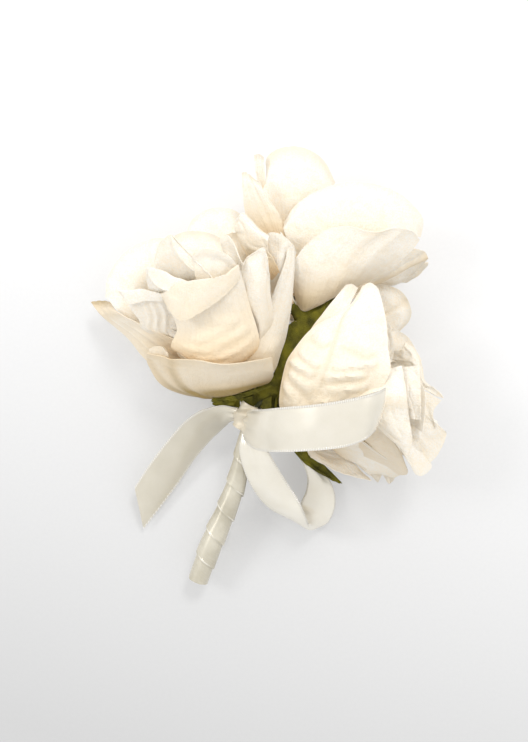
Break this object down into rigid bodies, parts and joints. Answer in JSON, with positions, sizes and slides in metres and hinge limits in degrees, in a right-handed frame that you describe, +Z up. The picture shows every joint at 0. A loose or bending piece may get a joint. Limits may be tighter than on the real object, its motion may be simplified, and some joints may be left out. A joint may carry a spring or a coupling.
{
  "type": "pin-on corsage",
  "caption": "Pin-on corsage of ivory fabric roses with olive calyces on a ribbon-wrapped stem, with a looped satin bow and a pearl-headed pin.",
  "frame": {"origin": "middle of the corsage's outline on the table that it lies on, at its lowest level", "axes": "+Z up from the table, towards the blooms' faces; +Y from the stem towards the upper rose; +X towards the right rose"},
  "size_m": [0.1124, 0.1414, 0.0582],
  "materials": {
    "silk_petal": "matte",
    "silk_heart": "matte",
    "calyx": "matte",
    "satin_ribbon": "satin",
    "floral_tape": "matte",
    "wire": "matte",
    "pin_steel": "polished",
    "pin_pearl": "gloss"
  },
  "bodies": {
    "corsage": {"left_wire": "wire", "top_wire": "wire", "right_wire": "wire", "stem_core": "floral_tape", "stem_wrap": "satin_ribbon", "bow_knot": "satin_ribbon", "bow_loop_upper": "satin_ribbon", "bow_loop_lower": "satin_ribbon", "bow_tail": "satin_ribbon", "left_bud": "silk_heart", "left_hip": "calyx", "left_heart_whorl": "silk_petal", "left_inner_whorl": "silk_petal", "left_middle_whorl": "silk_petal", "left_outer_whorl": "silk_petal", "left_calyx": "calyx", "top_bud": "silk_heart", "top_hip": "calyx", "top_heart_whorl": "silk_petal", "top_inner_whorl": "silk_petal", "top_middle_whorl": "silk_petal", "top_outer_whorl": "silk_petal", "top_calyx": "calyx", "right_bud": "silk_heart", "right_hip": "calyx", "right_heart_whorl": "silk_petal", "right_inner_whorl": "silk_petal", "right_middle_whorl": "silk_petal", "right_outer_whorl": "silk_petal", "right_calyx": "calyx"},
    "pin": {"pin_shaft": "pin_steel", "pin_pearl": "pin_pearl"}
  },
  "joints": [
    {"name": "pin_slide", "type": "slide", "parent": "corsage", "child": "pin", "axis": [-0.3044, -0.8738, -0.3792], "range_m": [0, 0.032]}
  ]
}
